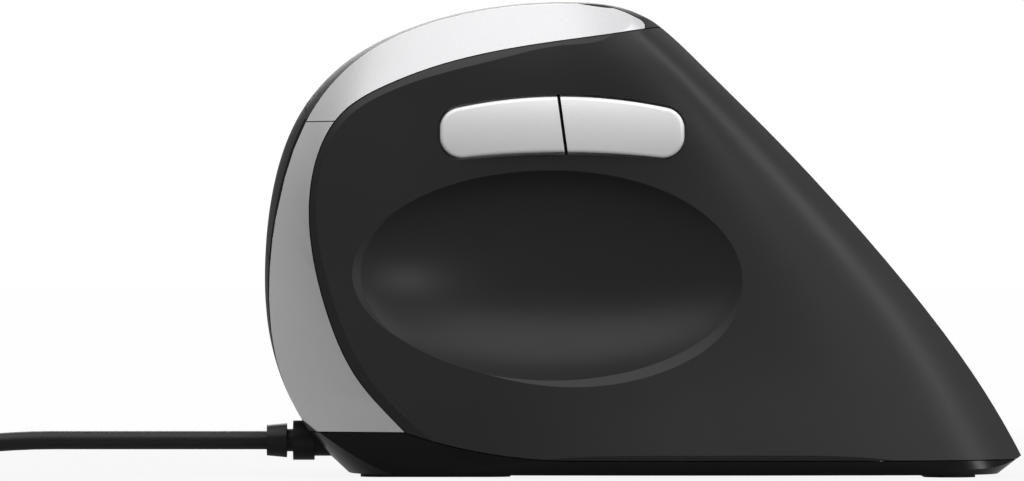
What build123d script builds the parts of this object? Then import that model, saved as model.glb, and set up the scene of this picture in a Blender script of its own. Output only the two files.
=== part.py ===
from build123d import *

import os
from math import cos, hypot, pi, radians, sin, sqrt

# A corded vertical mouse for the right hand, held on edge as in a handshake. X runs along it with
# the cord's end at -X, Y runs across it with the thumb's side at -Y, and Z is up. The origin is on
# the desk, under the middle of the housing. All sizes are millimetres.

# Overall sizes: the length sets the photograph's scale.
LENGTH = 120.0
HEIGHT = 75.3
WIDTH = 63.0
WALL = 1.9
FLOOR = 2.0
SEAM = 0.16
RUNNING_GAP = 0.3
SEAT_GAP = 0.2
OVERRUN = 25.0
SLOPE_DEGREES = 30.0

# Where the housing's edges lie across the mouse and above the desk.
PANEL_Y = -27.2
TRIM_NEAR_Y = -26.3
TRIM_FAR_Y = -20.0
CREST_Y = -15.0
CREST_MIDDLE_X = -5.0
SHELL_SEAM_Y = -14.0
FOOT_DROP = 0.5
RIM_Z = 2.8
CHIN_Z = 7.2
TRIM_SPLIT_Z = 56.3
PANEL_BEVEL = 1.3

# The crest as a side outline, from under the front over the top to under the rear: shares of the
# length from the middle, and of the height.
CREST_SHARES = [
    (-0.383, -0.040), (-0.4125, 0.027), (-0.446, 0.106), (-0.480, 0.213), (-0.4975, 0.332),
    (-0.500, 0.452), (-0.4883, 0.611), (-0.4517, 0.770), (-0.391, 0.877), (-0.308, 0.946),
    (-0.200, 0.989), (-0.097, 1.000), (-0.031, 0.989), (0.0165, 0.956), (0.071, 0.878),
    (0.167, 0.726), (0.273, 0.545), (0.365, 0.371), (0.431, 0.230), (0.492, 0.070), (0.525, -0.040),
]
# The far edge of the silver trim, point for point with the crest.
EDGE_SHARES = [
    (-0.383, -0.040), (-0.4125, 0.027), (-0.445, 0.106), (-0.478, 0.213), (-0.4925, 0.332),
    (-0.4925, 0.452), (-0.476, 0.611), (-0.437, 0.770), (-0.378, 0.877), (-0.3025, 0.943),
    (-0.200, 0.985), (-0.097, 0.996), (-0.033, 0.985), (0.0125, 0.952), (0.068, 0.875),
    (0.164, 0.725), (0.270, 0.545), (0.362, 0.371), (0.428, 0.230), (0.489, 0.070), (0.522, -0.040),
]
# The near edge of the trim, where the thumb's panel starts, and where the trim's far edge would run
# on past its tip.
PANEL_SHARES = [
    (-0.225, -0.040), (-0.271, 0.027), (-0.319, 0.106), (-0.378, 0.213), (-0.413, 0.332),
    (-0.433, 0.452), (-0.4375, 0.611), (-0.396, 0.765), (-0.3375, 0.823), (-0.275, 0.861),
    (-0.192, 0.894), (-0.097, 0.918), (-0.0375, 0.931), (0.008, 0.943), (0.100, 0.967),
]
TRIM_RUN_ON_SHARES = [(0.008, 0.996), (0.100, 1.022)]
# The trim's outer edge where it leaves the crest, and round its rear tip into the near edge.
TRIM_TIP_SHARES = [
    (-0.1167, 1.0146), (-0.0792, 1.0007), (-0.0500, 0.9907), (-0.0275, 0.9794), (-0.0100, 0.9661),
    (0.0004, 0.9535), (0.0008, 0.9422), (-0.0058, 0.9296), (-0.0208, 0.9163),
]
# How the crest's outline shrinks across the mouse: the place as a share of half the width, then
# what is left of the height, of the length ahead of the middle and of the length behind it.
STATION_SHARES = [
    (-1.143, 0.945, 0.945, 0.965), (-0.889, 0.966, 0.965, 0.982), (-0.476, 1.000, 1.000, 1.000),
    (-0.254, 0.975, 0.999, 1.000), (-0.032, 0.900, 0.990, 0.996), (0.190, 0.775, 0.972, 0.986),
    (0.413, 0.600, 0.940, 0.966), (0.603, 0.430, 0.900, 0.936), (0.762, 0.285, 0.852, 0.900),
    (0.889, 0.178, 0.800, 0.860), (1.000, 0.105, 0.750, 0.820), (1.111, 0.055, 0.690, 0.770),
]
LEAST_HEIGHT_SHARE = 0.03
# The thumb's side from below the foot to above the crest: the height, how far the middle stands
# out, where the ridge behind it lies along the mouse, and the width of the roll towards the ridge.
THUMB_SHARES = [
    (-0.066, 1.064, 0.550, 0.125), (0.053, 0.9985, 0.499, 0.117), (0.159, 0.940, 0.458, 0.108),
    (0.292, 0.886, 0.402, 0.100), (0.452, 0.857, 0.3225, 0.0875), (0.611, 0.851, 0.234, 0.071),
    (0.757, 0.873, 0.148, 0.050), (0.890, 0.863, 0.062, 0.030), (1.036, 0.832, -0.033, 0.025),
]
THUMB_FRONT_SHARE = -0.31
THUMB_SWELL_SHARE = 0.7
# The roll from the thumb's side to the ridge: shares of its width back from the ridge, and of the
# way across to the crest.
ROLL_SHARES = [(2.2, 0.05), (1.2, 0.20), (0.5, 0.50), (0.0, 1.0), (-0.45, 1.5)]
# The finger side seen from above, from the front round to the rear, as shares of the half length
# and half width.
PLAN_SHARES = [
    (-1.070, -0.70), (-1.035, -0.13), (-0.975, 0.254), (-0.855, 0.603), (-0.700, 0.825),
    (-0.500, 0.937), (-0.083, 1.000), (0.333, 0.965), (0.667, 0.762), (0.883, 0.381),
    (1.004, -0.19), (1.035, -0.70),
]
# The lower rim seen from above, all the way round, and how fast it widens upwards.
RIM_SHARES = [
    (1.003, -0.476), (0.925, -0.810), (0.633, -0.952), (0.167, -0.997), (-0.300, -0.965),
    (-0.600, -0.876), (-0.775, -0.667), (-0.833, -0.254), (-0.827, 0.190), (-0.750, 0.540),
    (-0.550, 0.857), (-0.133, 1.000), (0.333, 0.971), (0.700, 0.737), (0.933, 0.190),
]
RIM_HEIGHT = 3.5
RIM_FLARE_SHARE = 1.6

# The hollow for the thumb: an ellipsoid sunk into the panel, and a shallower one that breaks the
# hollow's front and lower edge into a narrow lip.
HOLLOW_CENTRE = (-14.5, -34.6, 32.3)
HOLLOW_RADII = (35.0, 15.5, 18.7)
LIP_CENTRE = (-14.5, -37.6, 32.3)
LIP_RADII = (44.5, 14.74, 22.4)

# The foot's upper edge, seen from the side, where the panel sweeps down to the rim.
CHIN_BACK_X = -37.9
CHIN_SWEEP_X = -24.6
CHIN_SWEEP_Z = 3.9
RIM_START_X = -12.0

# The two thumb buttons in their arched slot.
THUMB_BUTTON_MIDDLE_X = -12.95
THUMB_BUTTON_HALF_LENGTH = 19.25
THUMB_BUTTON_CROWN_Z = 60.15
THUMB_BUTTON_HEIGHT = 8.75
THUMB_BUTTON_ARCH = 2.4
THUMB_BUTTON_LOWER_ARCH = 1.3
THUMB_BUTTON_CORNER = 3.4
THUMB_DOME_CENTRE = (-14.0, -18.8, 55.7)
THUMB_DOME_RADII = (51.0, 10.0, 11.8)
THUMB_BUTTON_GAP = 0.35
THUMB_BUTTON_EDGE = 0.7
THUMB_SPLIT_X = -13.5
THUMB_SPLIT_GAP = 0.5
THUMB_SPLIT_LEAN = 1.2
THUMB_FLANGE = 0.9
THUMB_FLANGE_DEPTH = 1.0
THUMB_SWITCH_TOP_Y = -21.8

# The finger side: a plane through the wheel's axle, square to the push of the fingers.
WHEEL_CENTRE = (-36.0, 1.6, 46.3)
BUTTON_GAP = 0.4
BUTTON_TOP = 21.1
BUTTON_BOTTOM = 20.7
BUTTON_REAR_TOP = 17.7
BUTTON_REAR_BOTTOM = 17.7
BUTTON_REAR = 32.0
BUTTON_NEAR_Y = -18.8

# The scroll wheel, its axle, cradle and encoder.
WHEEL_RADIUS = 11.5
WHEEL_WIDTH = 7.0
TYRE_THICKNESS = 2.2
TYRE_GROOVE = 0.5
TYRE_RIBS = 24
AXLE_RADIUS = 1.5
AXLE_LENGTH = 15.0
AXLE_CLEARANCE = 0.05
SLOT_SIDE_GAP = 0.7
SLOT_END_GAP = 2.1
CRADLE_WALL = 1.6
CRADLE_HALF_LENGTH = 6.0
CRADLE_TOP = 3.0
ENCODER_SIZE = (9.0, 2.4, 8.0)
CORE_DISH = 1.0

# The boards and what they carry.
BOARD_THICKNESS = 1.6
BOARD_DROP = 4.4
FINGER_BOARD_FRONT = 12.5
FINGER_BOARD_REAR = 34.0
FINGER_BOARD_HALF_WIDTH = 16.5
SWITCH_SIZE = (12.8, 5.8, 6.5)
SWITCH_X = -2.0
INDEX_SWITCH_Y = -10.6
MIDDLE_SWITCH_Y = 12.0
PLUNGER_SIZE = (1.2, 2.4)
PLUNGER_STANDS = 0.7
PLUNGER_INSET = 4.3
PLUNGER_DEPTH = 2.5
PLUNGER_CLEARANCE = 0.15
TACT_SIZE = (6.0, 6.0, 3.6)
TACT_PLUNGER_RADIUS = 1.6
CLICK_TACT_X = 17.0
RESOLUTION_X = 25.0
RESOLUTION_SIZE = (6.0, 4.4)
RESOLUTION_PROUD = 0.6
RESOLUTION_PRESS = 0.4
RESOLUTION_EDGE = 0.5
THUMB_TACTS = (-22.5, -3.0)
THUMB_TACT_Z = 55.2
BOARD_MARGIN = 5.0
FINGER_SCREWS = [(8.0, -12.5), (8.0, 12.5), (21.0, -12.5), (21.0, 12.5)]

# The chassis that carries the boards.
CHASSIS_THICKNESS = 1.8
CHASSIS_BOSS = 1.0
LEG_X = (-40.0, -9.0)
LEG_Y = (-2.0, 2.5)
LEG_WIDTH = 5.0
LEG_FOOT = 1.6
LEG_FOOT_MARGIN = 1.5
UPRIGHT_X = (-31.0, 5.0)
UPRIGHT_Z = (47.0, 62.0)
UPRIGHT_Y = -16.6
WEB_Z = 54.0
WEB_END_Y = -12.4
HINGE_X = 28.5
HINGE_LIFT = 1.5
HINGE_PIN_RADIUS = 1.0
HINGE_PIN_HALF_LENGTH = 13.0
HINGE_EARS_Y = (6.6, 12.0)
HINGE_LUG_Y = 9.3
HINGE_CLEARANCE = 0.05
LUG_THICKNESS = 2.4

# The foot, its glides and screws.
GLIDE_FRONT_X = (-44.9, -21.1)
GLIDE_REAR_X = (44.4, 52.6)
GLIDE_FRONT_WIDTH = 34.0
GLIDE_REAR_WIDTH = 24.0
GLIDE_CORNER = 3.5
GLIDE_FRONT_Y = -1.0
GLIDE_REAR_Y = -9.0
MAIN_BOARD_X = (-35.0, 30.0)
MAIN_BOARD_Y = (-22.0, 20.0)
MAIN_BOARD_Z = 5.5
BOSS_RADIUS = 2.6
SCREW_RADIUS = 1.1
SCREW_HEAD_RADIUS = 2.0
SCREW_HEAD_HEIGHT = 1.2
SCREW_FIT = 0.1
THUMB_POSTS = [(-22.0, -25.3), (37.0, -24.5)]
FINGER_POSTS = [(-29.0, 22.8), (40.0, 12.0)]
THUMB_POST_TOP = 14.0
FINGER_POST_TOP = 30.0
BOARD_POSTS = [(-32.0, -19.0), (-32.0, 17.0), (27.0, -19.0), (27.0, 17.0)]
BOARD_SCREW_LENGTH = 5.0
CASE_SCREW_LENGTH = 9.0

# The sensor.
SENSOR_X = 4.0
SENSOR_Y = -1.0
SENSOR_SIZE = (12.0, 10.0, 3.2)
LENS_SIZE = (14.0, 11.0, 1.8)
SENSOR_WINDOW = (7.0, 5.0)

# The cord and its fittings.
CORD_DIAMETER = 3.0
CORD_Y = -6.0
CORD_Z = 5.6
COLLAR_OUTER_X = (-60.0, -56.8)
COLLAR_INNER_X = (-55.8, -52.4)
COLLAR_OUTER_DIAMETER = 5.5
COLLAR_INNER_DIAMETER = 6.3
COLLAR_TAPER = 0.3
RELIEF_NECK_DIAMETER = 3.6
RELIEF_STEM_DIAMETER = 5.0
RELIEF_STEM_END_X = -44.4
RELIEF_FLANGE_HALF_WIDTH = 3.6
RELIEF_FLANGE_THICKNESS = 1.6
RELIEF_FLANGE_Z = (2.7, 9.0)
CONNECTOR_SIZE = (6.0, 10.0, 4.5)
LEAD_RADIUS = 0.5
LEAD_PITCH = 1.6
LEADS = 4

# The cord's route: level out of the view, down to the desk, into a flat coil of four layers, and
# on to the plug. The coil rests on its tie.
LEAD_ROUTE = [(-60.0, -6.0, 5.6), (-104.0, -6.0, 5.6), (-124.0, -6.0, 2.2), (-134.0, -6.0, 2.2)]
ARC_RUN_SHARE = 0.45
COIL_TURNS_PER_LAYER = 3
COIL_LAYERS = 4
COIL_SHORT_OF_FULL = 0.25
COIL_MEAN_RADIUS = 18.0
COIL_GAP = 0.45
COIL_CHECK_STEPS = 48
TIE_WIDTH = 7.0
TIE_THICKNESS = 0.5
TIE_GAP = 0.15
TAIL_DROP_START = 12.0
TAIL_DROP_LENGTH = 14.0
TAIL_RUN_OUT = 7.0

# The plug: a moulded grip and a standard shell.
GRIP_LENGTH = 20.0
GRIP_WIDTH = 15.5
GRIP_THICKNESS = 8.0
GRIP_CORNER = 2.0
GRIP_NECK_LENGTH = 6.0
GRIP_NECK_DIAMETER = 5.0
PLUG_SHELL_SIZE = (12.0, 12.0, 4.5)
PLUG_SHELL_WALL = 0.35
PLUG_TONGUE = (11.1, 1.85)
PLUG_TONGUE_SHORT = 0.6

# The flat jumpers between the boards, by their course in the end view.
RIBBON_THICKNESS = 0.5
FINGER_RIBBON_X = (-20.0, -14.0)
FINGER_RIBBON = [(5.4, 29.2), (7.5, 26.0), (13.0, 12.0), (13.0, 7.1)]
THUMB_RIBBON_X = (-4.0, 2.0)
THUMB_RIBBON = [(-17.6, 50.2), (-16.4, 40.0), (-16.0, 20.0), (-16.0, 7.1)]

HALF_LENGTH = LENGTH / 2
HALF_WIDTH = WIDTH / 2
TACT_TOP = -BOARD_DROP + TACT_SIZE[2] + PLUNGER_STANDS
COIL_CENTRE = (
    LEAD_ROUTE[-1][0] - CORD_DIAMETER,
    CORD_Y + COIL_MEAN_RADIUS + COIL_TURNS_PER_LAYER / 2 * (CORD_DIAMETER + COIL_GAP),
)


# Outlines and simple solids

def scaled(shares):
    """A side outline in millimetres."""
    return [(x * LENGTH, z * HEIGHT) for x, z in shares]


def pushed(pairs, distance):
    """An open outline moved sideways, to the right of the way that it runs."""
    moved = []
    for i, (x, z) in enumerate(pairs):
        ax, az = pairs[max(i - 1, 0)]
        bx, bz = pairs[min(i + 1, len(pairs) - 1)]
        run = hypot(bx - ax, bz - az)
        moved.append((x + (bz - az) / run * distance, z - (bx - ax) / run * distance))
    return moved


def closed_wire(curve, corners):
    """A spline through points, closed by straight lines through the corners."""
    edges = [Spline(*curve)]
    chain = [curve[-1], *corners, curve[0]]
    edges += [Line(a, b) for a, b in zip(chain, chain[1:])]
    return Wire(edges)


def block(x_range, y_range, z_range):
    """A box between three pairs of limits."""
    (x0, x1), (y0, y1), (z0, z1) = x_range, y_range, z_range
    return Solid.make_box(x1 - x0, y1 - y0, z1 - z0, Plane((x0, y0, z0)))


def rod(radius, start, end):
    """A round bar between two points."""
    a, b = Vector(*start), Vector(*end)
    return Solid.make_cylinder(radius, (b - a).length, Plane(a, z_dir=b - a))


def across(wire, y_from, y_to):
    """A prism across the mouse from an outline drawn in the side view."""
    face = Face(wire).translate((0, y_from, 0))
    return Solid.extrude(face, Vector(0, y_to - y_from, 0))


def side(x, z):
    return Vector(x, 0, z)


# The finger side's own frame: X along the mouse, Y down the slope, Z out of the surface.
FINGER_PLANE = Plane(
    origin=WHEEL_CENTRE, x_dir=(1, 0, 0),
    z_dir=(0, cos(radians(SLOPE_DEGREES)), sin(radians(SLOPE_DEGREES))),
)


def on_finger_side(shape):
    """A shape drawn in the finger side's frame, put in its place."""
    return shape.moved(FINGER_PLANE.location)


def finger_point(x, y, z):
    return FINGER_PLANE.from_local_coords(Vector(x, y, z))


def length_inside(shape, start, end):
    """How much of a line lies within a shape, from its start."""
    kept = Edge.make_line(Vector(*start), Vector(*end)) & shape
    return max((Vector(*start) - corner.center()).length for corner in kept.vertices())


# The housing's forms, each for an inset of its surface

def finger_form(inset):
    """The crest and all that falls away from it to the fingers' side."""
    shares = [s[0] for s in STATION_SHARES]
    wires = []
    low = -OVERRUN / 2
    for i, (place, height, front, rear) in enumerate(STATION_SHARES):
        after = STATION_SHARES[min(i + 1, len(STATION_SHARES) - 1)]
        before = STATION_SHARES[max(i - 1, 0)]
        fall = (after[1] - before[1]) * HEIGHT / ((after[0] - before[0]) * HALF_WIDTH)
        lean = sqrt(1 + min(fall, 0) ** 2)
        height = max(height - inset * lean / HEIGHT, LEAST_HEIGHT_SHARE)
        front -= inset / HALF_LENGTH
        rear -= inset / HALF_LENGTH
        wires.append(outline_at(place * HALF_WIDTH, CREST_SHARES, height, front, rear, low))
    ends = 1 - inset / HALF_LENGTH
    edge = outline_at(TRIM_FAR_Y, EDGE_SHARES, 1 - inset / HEIGHT, ends, ends, low)
    wires.insert(sum(s * HALF_WIDTH < TRIM_FAR_Y for s in shares), edge)
    return Solid.make_loft(wires)


def outline_at(y, shares, height, front, rear, low):
    """The crest's outline at one place across the mouse, with a floor under it."""
    points = []
    for x, z in scaled(shares):
        reach = x - CREST_MIDDLE_X
        reach *= front if reach < 0 else rear
        points.append(Vector(CREST_MIDDLE_X + reach, y, z * height if z > 0 else z))
    return closed_wire(points, [Vector(points[-1].X, y, low), Vector(points[0].X, y, low)])


def thumb_form(inset):
    """The thumb's side, rolling back to the ridge, and all that lies beyond it."""
    wires = []
    front = THUMB_FRONT_SHARE * LENGTH
    for height, stand, ridge, roll in THUMB_SHARES:
        z = height * HEIGHT
        middle_y = -stand * HALF_WIDTH
        ridge_x, roll_width = ridge * LENGTH, roll * LENGTH
        span = ridge_x - ROLL_SHARES[0][0] * roll_width - front
        pairs = [(front - OVERRUN, PANEL_Y), (front - OVERRUN / 3, PANEL_Y), (front, PANEL_Y)]
        pairs.append((front + span / 3, PANEL_Y + THUMB_SWELL_SHARE * (middle_y - PANEL_Y)))
        pairs.append((front + span * 2 / 3, middle_y))
        for back, over in ROLL_SHARES:
            pairs.append((ridge_x - back * roll_width, middle_y + over * (CREST_Y - middle_y)))
        points = [Vector(x, y, z) for x, y in pushed(pairs, -inset)]
        corners = [Vector(points[-1].X, WIDTH, z), Vector(points[0].X, WIDTH, z)]
        wires.append(closed_wire(points, corners))
    return Solid.make_loft(wires)


def ruled_form(near, near_y, far, far_y):
    """All that lies under a straight-ruled strip between two side outlines: it runs on past both by
    its own width, and then straight across on the near side and widening on the far side."""
    wires = []
    step = far_y - near_y
    stations = [(-WIDTH, -1, 0), (near_y - step, -1, 0), (near_y, 0, 0)]
    stations += [(far_y, 1, 0), (far_y + step, 2, 0), (WIDTH, 2, OVERRUN)]
    for y, k, widen in stations:
        pairs = [(a + (c - a) * k, b + (d - b) * k) for (a, b), (c, d) in zip(near, far)]
        points = [Vector(x, y, z) for x, z in pushed(pairs, -widen)]
        right = LENGTH + widen
        corners = [Vector(right, y, points[-1].Z), Vector(right, y, -OVERRUN - widen)]
        corners.append(Vector(points[0].X, y, -OVERRUN - widen))
        wires.append(closed_wire(points, corners))
    return Solid.make_loft(wires, ruled=True)


def trim_form(inset):
    """The slanting strip of the silver trim, and all that lies under it."""
    near = pushed(scaled(PANEL_SHARES), inset * 3 / 2)
    tip = len(PANEL_SHARES) - len(TRIM_RUN_ON_SHARES)
    far = pushed(scaled(EDGE_SHARES[:tip] + TRIM_RUN_ON_SHARES), inset * 3 / 2)
    return ruled_form(near, TRIM_NEAR_Y, far, TRIM_FAR_Y)


def plan_form(inset, floor):
    """The finger side's outline seen from above, as a prism on a floor, open to the thumb."""
    share = 1 - inset / HALF_WIDTH
    points = []
    for x, y in PLAN_SHARES:
        points.append(Vector(x * HALF_LENGTH * share, y * HALF_WIDTH * (share if y > 0 else 1), floor))
    corners = [Vector(points[-1].X, -WIDTH, floor), Vector(points[0].X, -WIDTH, floor)]
    return Solid.extrude(Face(closed_wire(points, corners)), Vector(0, 0, HEIGHT + OVERRUN))


def rim_form(inset):
    """A flaring form that undercuts the lower rim all the way round."""
    wires = []
    for z in (-OVERRUN / 4, HEIGHT + OVERRUN):
        flare = 1 + (z - RIM_HEIGHT) * RIM_FLARE_SHARE / HEIGHT
        points = []
        for x, y in RIM_SHARES:
            x, y = x * HALF_LENGTH, y * HALF_WIDTH
            grow = flare - inset / hypot(x, y)
            points.append(Vector(x * grow, y * grow, z))
        wires.append(Wire([Spline(*points, periodic=True)]))
    return Solid.make_loft(wires, ruled=True)


def egg_form(centre, radii, grow=0):
    """An ellipsoid along the mouse, for what is hollowed or domed."""
    (x, y, z), (rx, ry, rz) = centre, radii
    stretch = Matrix([[rx + grow, 0, 0, x], [0, ry + grow, 0, y], [0, 0, rz + grow, z], [0, 0, 0, 1]])
    return Solid.make_sphere(1).transform_geometry(stretch)


def housing_form(inset, floor):
    """The whole housing as one closed form, from a floor up."""
    form = finger_form(inset) & thumb_form(inset) & trim_form(inset)
    form = form & rim_form(inset) & plan_form(inset, floor)
    return form - egg_form(HOLLOW_CENTRE, HOLLOW_RADII, inset)


# The lines where the housing's pieces part

def foot_prism(rise):
    """What belongs to the foot: its upper edge steps down behind the trim."""
    front = -LENGTH
    wire = Wire([
        Line(side(front, CHIN_Z + rise), side(CHIN_BACK_X, CHIN_Z + rise)),
        ThreePointArc(
            side(CHIN_BACK_X, CHIN_Z + rise), side(CHIN_SWEEP_X, CHIN_SWEEP_Z + rise),
            side(RIM_START_X, RIM_Z + rise),
        ),
        Line(side(RIM_START_X, RIM_Z + rise), side(LENGTH, RIM_Z + rise)),
        Line(side(LENGTH, RIM_Z + rise), side(LENGTH, -OVERRUN)),
        Line(side(LENGTH, -OVERRUN), side(front, -OVERRUN)),
        Line(side(front, -OVERRUN), side(front, CHIN_Z + rise)),
    ])
    return across(wire, -WIDTH, WIDTH)


def panel_prism(grow):
    """What belongs to the thumb's panel, behind and below the trim's near edge."""
    points = [side(x, z) for x, z in pushed(scaled(PANEL_SHARES), -grow)]
    right = LENGTH
    corners = [side(right, points[-1].Z), side(right, -OVERRUN), side(points[0].X, -OVERRUN)]
    return across(closed_wire(points, corners), -WIDTH, SHELL_SEAM_Y + grow)


def panel_bevel_form():
    """The bevelled front and top edge of the thumb's panel."""
    inner = pushed(scaled(PANEL_SHARES), PANEL_BEVEL)
    return ruled_form(inner, PANEL_Y - SEAM, scaled(PANEL_SHARES), TRIM_NEAR_Y - SEAM)


def trim_block(shift):
    """What the silver trim takes of the housing, up to its rounded rear tip."""
    tip = [side(x, z) for x, z in pushed(scaled(TRIM_TIP_SHARES), -shift)]
    low, high = CHIN_Z - shift, HEIGHT + OVERRUN
    corners = [side(tip[-1].X, low), side(-LENGTH, low), side(-LENGTH, high), side(tip[0].X, high)]
    return across(closed_wire(tip, corners), -WIDTH, TRIM_FAR_Y + SEAM + shift)


def index_outline(gap):
    """The index finger's button, drawn on the finger side's plane; the gap draws it in."""
    front = -OVERRUN * 2
    slot_half = WHEEL_RADIUS + SLOT_END_GAP
    slot_side = WHEEL_WIDTH / 2 + SLOT_SIDE_GAP
    return [
        (front, -BUTTON_TOP + gap), (BUTTON_REAR - gap, -BUTTON_REAR_TOP + gap),
        (BUTTON_REAR - gap, -slot_side - gap - gap), (slot_half + gap, -slot_side - gap - gap),
        (slot_half, -slot_side), (-slot_half, -slot_side), (-slot_half, -gap / 2), (front, -gap / 2),
    ]


def middle_outline(gap):
    """The middle finger's button, on the other side of the wheel."""
    mirrored = [(x, -y) for x, y in index_outline(gap)]
    mirrored[0] = (mirrored[0][0], BUTTON_BOTTOM - gap)
    mirrored[1] = (mirrored[1][0], BUTTON_REAR_BOTTOM - gap)
    return mirrored


def opening_outline():
    """The opening for both buttons, round the tongue that holds the resolution button."""
    tongue = WHEEL_RADIUS + SLOT_END_GAP + BUTTON_GAP + BUTTON_GAP
    half = WHEEL_WIDTH / 2 + SLOT_SIDE_GAP + BUTTON_GAP
    front = -OVERRUN * 2
    return [
        (front, -BUTTON_TOP), (BUTTON_REAR, -BUTTON_REAR_TOP), (BUTTON_REAR, -half), (tongue, -half),
        (tongue, half), (BUTTON_REAR, half), (BUTTON_REAR, BUTTON_REAR_BOTTOM), (front, BUTTON_BOTTOM),
    ]


def push_prism(outline, low, high):
    """A prism along the fingers' push from an outline on the finger side's plane."""
    wire = Wire.make_polygon([Vector(x, y, low) for x, y in outline], close=True)
    return on_finger_side(Solid.extrude(Face(wire), Vector(0, 0, high - low)))


def main_solid(shape):
    """The largest solid of a cut: slivers along the seams are dropped."""
    return max(shape.solids(), key=lambda solid: solid.volume)


def finger_block(x_range, y_range, z_range):
    return on_finger_side(block(x_range, y_range, z_range))


def finger_rod(radius, start, end):
    return on_finger_side(rod(radius, start, end))


# The thumb's buttons

def thumb_button_outline(grow):
    """The arched slot's outline, for both buttons together."""
    middle, half = THUMB_BUTTON_MIDDLE_X, THUMB_BUTTON_HALF_LENGTH + grow
    top, bottom = THUMB_BUTTON_CROWN_Z + grow, THUMB_BUTTON_CROWN_Z - THUMB_BUTTON_HEIGHT - grow
    left, right = middle - half, middle + half
    shoulder, foot = top - THUMB_BUTTON_ARCH, bottom - THUMB_BUTTON_LOWER_ARCH
    wire = Wire([
        ThreePointArc(side(left, shoulder), side(middle, top), side(right, shoulder)),
        Line(side(right, shoulder), side(right, foot)),
        ThreePointArc(side(right, foot), side(middle, bottom), side(left, foot)),
        Line(side(left, foot), side(left, shoulder)),
    ])
    return wire.fillet_2d(THUMB_BUTTON_CORNER + grow, wire.vertices())


def thumb_split():
    """The leaning gap between the two thumb buttons."""
    top, bottom = THUMB_BUTTON_CROWN_Z + OVERRUN, THUMB_BUTTON_CROWN_Z - OVERRUN
    lean = THUMB_SPLIT_LEAN * OVERRUN / THUMB_BUTTON_HEIGHT
    x, half = THUMB_SPLIT_X, THUMB_SPLIT_GAP / 2
    corners = [side(x - lean - half, top), side(x - lean + half, top)]
    corners += [side(x + lean + half, bottom), side(x + lean - half, bottom)]
    return across(Wire.make_polygon(corners, close=True), -WIDTH, 0)


def thumb_buttons():
    """The forward and the back button: a domed cap, a flange behind the wall, and a push boss."""
    flange_back = THUMB_SWITCH_TOP_Y - PLUNGER_STANDS - SEAT_GAP
    flange_front = flange_back - THUMB_FLANGE_DEPTH
    cap = across(thumb_button_outline(0), -WIDTH, flange_front)
    cap = cap & egg_form(THUMB_DOME_CENTRE, THUMB_DOME_RADII)
    rim = cap.faces().sort_by(Axis.Y)[0].edges()
    cap = cap.fillet(THUMB_BUTTON_EDGE, rim)
    flange = across(thumb_button_outline(THUMB_FLANGE), flange_front, flange_back)
    halves = sorted(((cap + flange) - thumb_split()).solids(), key=lambda solid: solid.center().X)
    return halves[0], halves[-1]


# The scroll wheel

def wheel_core():
    """The wheel's hub, with a rim bead on each side of the tyre."""
    radius, half = WHEEL_RADIUS - TYRE_THICKNESS, WHEEL_WIDTH / 2
    hub = rod(radius, (0, -half, 0), (0, half, 0))
    bore = rod(AXLE_RADIUS, (0, -WHEEL_WIDTH, 0), (0, WHEEL_WIDTH, 0))
    for y in (-half, half - CORE_DISH):
        dish = rod(radius - TYRE_THICKNESS, (0, y, 0), (0, y + CORE_DISH, 0))
        hub = hub - (dish - rod(AXLE_RADIUS + TYRE_THICKNESS, (0, y, 0), (0, y + CORE_DISH, 0)))
    return on_finger_side(hub - bore)


def wheel_tyre():
    """The rubber tyre, with grooves across its tread."""
    inner, half = WHEEL_RADIUS - TYRE_THICKNESS, WHEEL_WIDTH / 2
    tyre = rod(WHEEL_RADIUS, (0, -half, 0), (0, half, 0)) - rod(inner, (0, -half, 0), (0, half, 0))
    rims = tyre.edges().filter_by(GeomType.CIRCLE).sort_by(SortBy.RADIUS)[-2:]
    tyre = tyre.chamfer(TYRE_GROOVE, TYRE_GROOVE, rims)
    for i in range(TYRE_RIBS):
        turn = 2 * pi * i / TYRE_RIBS
        x, z = WHEEL_RADIUS * cos(turn), WHEEL_RADIUS * sin(turn)
        tyre = tyre - rod(TYRE_GROOVE, (x, -half, z), (x, half, z))
    return on_finger_side(tyre)


def wheel_axle():
    return finger_rod(AXLE_RADIUS, (0, -AXLE_LENGTH / 2, 0), (0, AXLE_LENGTH / 2, 0))


def wheel_cradle():
    """The cradle that holds the axle: two cheeks, a floor, and an arm over its switch."""
    inner = WHEEL_WIDTH / 2 + SLOT_SIDE_GAP
    outer = inner + CRADLE_WALL
    low = -WHEEL_RADIUS - CRADLE_WALL
    half = CRADLE_HALF_LENGTH
    arm_z = (TACT_TOP + SEAT_GAP, TACT_TOP + SEAT_GAP + CRADLE_WALL)
    arm_end = CLICK_TACT_X + TACT_PLUNGER_RADIUS
    cradle = block((-half, half), (-outer, outer), (low - CRADLE_WALL, low))
    for a, b in ((-outer, -inner), (inner, outer)):
        cradle = cradle + block((-half, half), (a, b), (low, CRADLE_TOP))
        cradle = cradle + block((half, arm_end), (a, b), arm_z)
    cradle = cradle + block((CLICK_TACT_X - TACT_PLUNGER_RADIUS, arm_end), (-outer, outer), arm_z)
    bore = rod(AXLE_RADIUS + AXLE_CLEARANCE, (0, -AXLE_LENGTH, 0), (0, AXLE_LENGTH, 0))
    return on_finger_side(cradle - bore)


def rotary_encoder():
    """The encoder that the axle turns, on the cradle's outer cheek."""
    length, width, height = ENCODER_SIZE
    inner = WHEEL_WIDTH / 2 + SLOT_SIDE_GAP + CRADLE_WALL
    body = block((-length / 2, length / 2), (inner, inner + width), (-height / 2, height / 2))
    bore = rod(AXLE_RADIUS + AXLE_CLEARANCE, (0, -AXLE_LENGTH, 0), (0, AXLE_LENGTH, 0))
    return on_finger_side(body - bore)


# The switches: a body with a pocket, and the plunger that rides in it

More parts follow.
